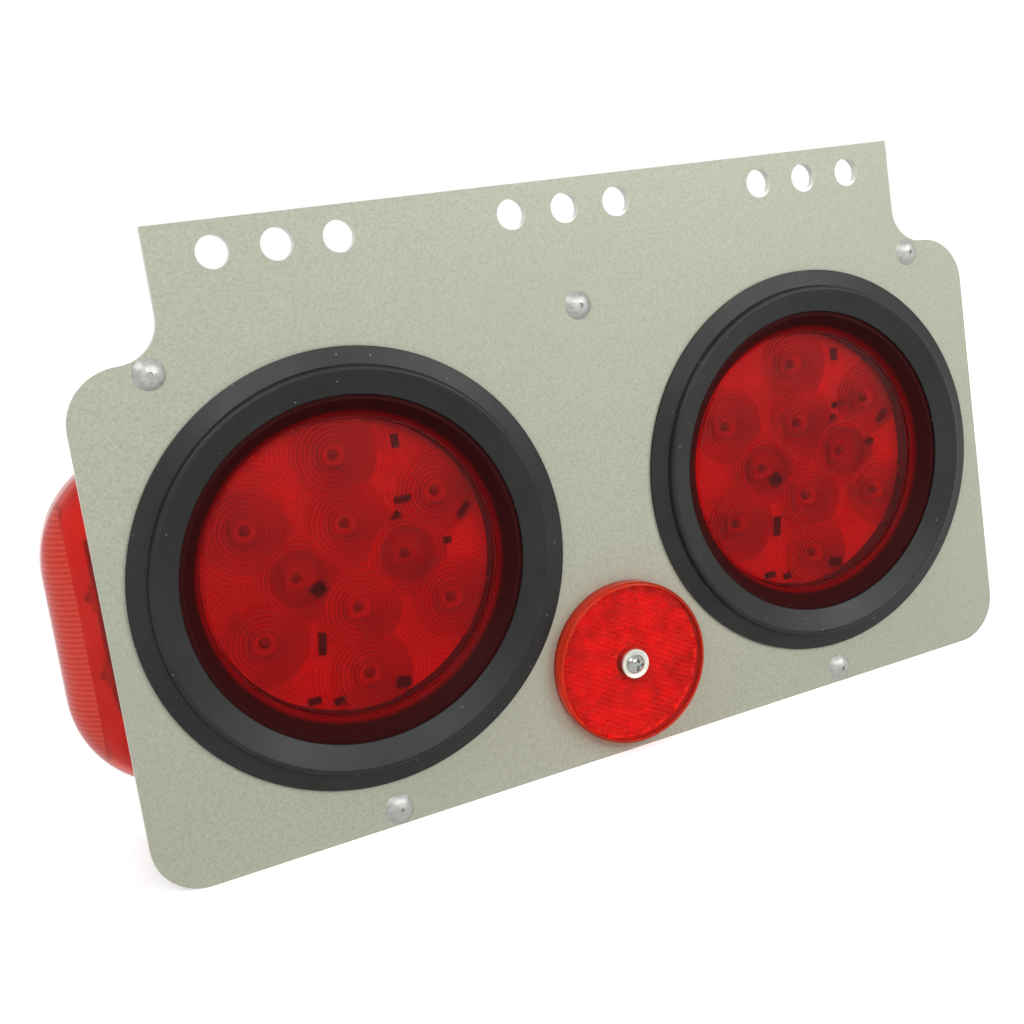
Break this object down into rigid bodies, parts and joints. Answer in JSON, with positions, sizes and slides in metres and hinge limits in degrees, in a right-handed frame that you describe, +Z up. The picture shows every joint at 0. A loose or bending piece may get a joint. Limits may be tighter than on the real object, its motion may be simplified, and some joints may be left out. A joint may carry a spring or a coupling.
{
  "type": "trailer light module",
  "caption": "Painted steel light module with a bolt-up tab, round LED lamps in rubber grommets, a round reflector, a side marker lamp and a closed sheet housing.",
  "frame": {"origin": "centre of the middle bolt hole, on the rear face of the plate's tab", "axes": "+X along the plate to the viewer's right, +Y out of the plate's rear face towards the vehicle, +Z up"},
  "size_m": [0.3387, 0.0795, 0.1954],
  "materials": {
    "plate_paint": "satin silver-grey paint with a fine speckle",
    "housing_paint": "satin silver-grey paint over folded sheet",
    "rivet_aluminium": "bright, softly dimpled domes",
    "rubber": "satin black moulded rubber",
    "lamp_lens": "clear deep red acrylic, glossy",
    "black_plastic": "moulded black plastic",
    "board": "pale solder mask",
    "led": "clear epoxy over a pale body",
    "resistor": "small dark parts",
    "contact_brass": "tinned brass",
    "reflector_lens": "orange-red prismatic acrylic, glossy",
    "white_plastic": "pale moulded plastic",
    "zinc_steel": "bright zinc plating",
    "marker_lens": "clear orange-red acrylic with fine ribs",
    "foam": "closed-cell foam"
  },
  "bodies": {
    "root": {"front_plate": "plate_paint", "rear_housing": "housing_paint", "left_end_cap": "housing_paint", "right_end_cap": "housing_paint", "rivets": "rivet_aluminium", "cable_grommet": "rubber", "left_grommet": "rubber", "right_grommet": "rubber", "marker_wire_grommet": "rubber", "left_lens": "lamp_lens", "right_lens": "lamp_lens", "left_lamp_housing": "black_plastic", "right_lamp_housing": "black_plastic", "marker_board": "black_plastic", "left_circuit_board": "board", "right_circuit_board": "board", "left_leds": "led", "right_leds": "led", "marker_leds": "led", "left_resistors": "resistor", "right_resistors": "resistor", "left_contact_pins": "contact_brass", "right_contact_pins": "contact_brass", "reflector_lens": "reflector_lens", "reflector_back": "white_plastic", "marker_base": "white_plastic", "reflector_washer": "zinc_steel", "reflector_screw": "zinc_steel", "reflector_lock_washer": "zinc_steel", "reflector_nut": "zinc_steel", "marker_screws": "zinc_steel", "marker_lens": "marker_lens", "marker_gasket": "foam"}
  },
  "joints": []
}
